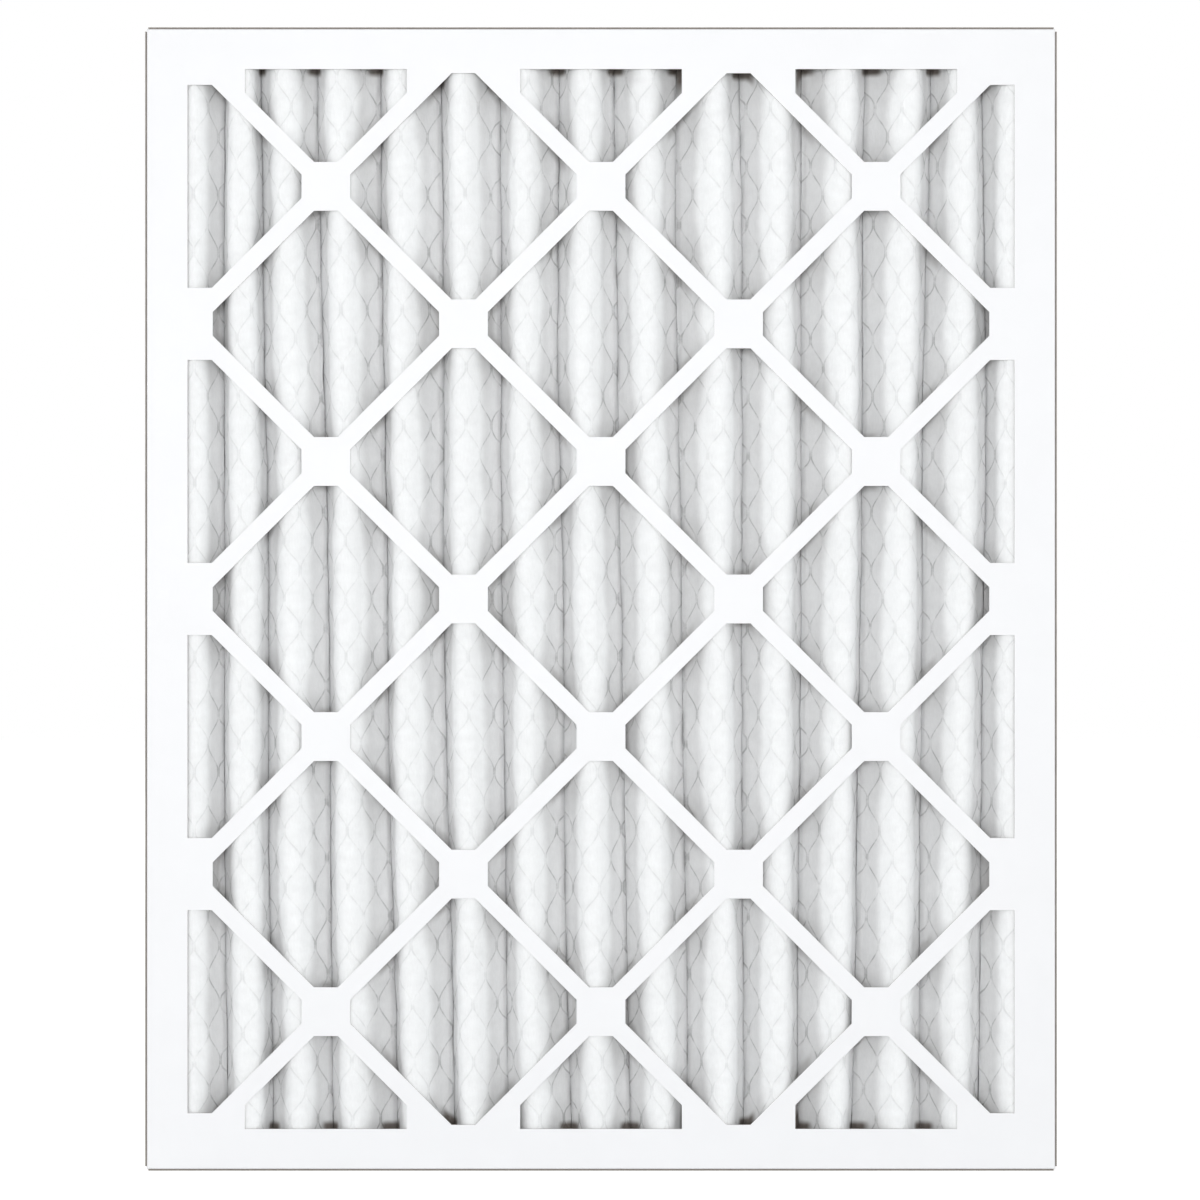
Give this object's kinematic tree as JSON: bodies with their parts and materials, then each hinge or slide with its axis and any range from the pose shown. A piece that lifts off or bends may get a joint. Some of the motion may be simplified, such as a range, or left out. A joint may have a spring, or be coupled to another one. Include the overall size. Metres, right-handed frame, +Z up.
{
  "type": "pleated panel air filter",
  "caption": "Pleated panel air filter: folded white media on expanded metal, held in a shallow board frame with a diagonal lattice over each face.",
  "frame": {"origin": "middle of the bottom edge, on the surface that the filter stands on", "axes": "+X across the face, +Y from the front face to the rear face, +Z up along the pleats"},
  "size_m": [0.4, 0.0444, 0.5016],
  "materials": {
    "frame_board": "clay-coated white beverage board, satin, with a kraft-brown inside and cut edge",
    "filter_media": "matt white non-woven polyester fibre",
    "support_metal": "dull galvanised expanded steel",
    "adhesive": "dried off-white glue"
  },
  "bodies": {
    "root": {"front_frame": "frame_board", "rear_frame": "frame_board", "pleated_media": "filter_media", "wire_support": "support_metal", "top_adhesive": "adhesive", "bottom_adhesive": "adhesive", "left_adhesive": "adhesive", "right_adhesive": "adhesive"}
  },
  "joints": []
}
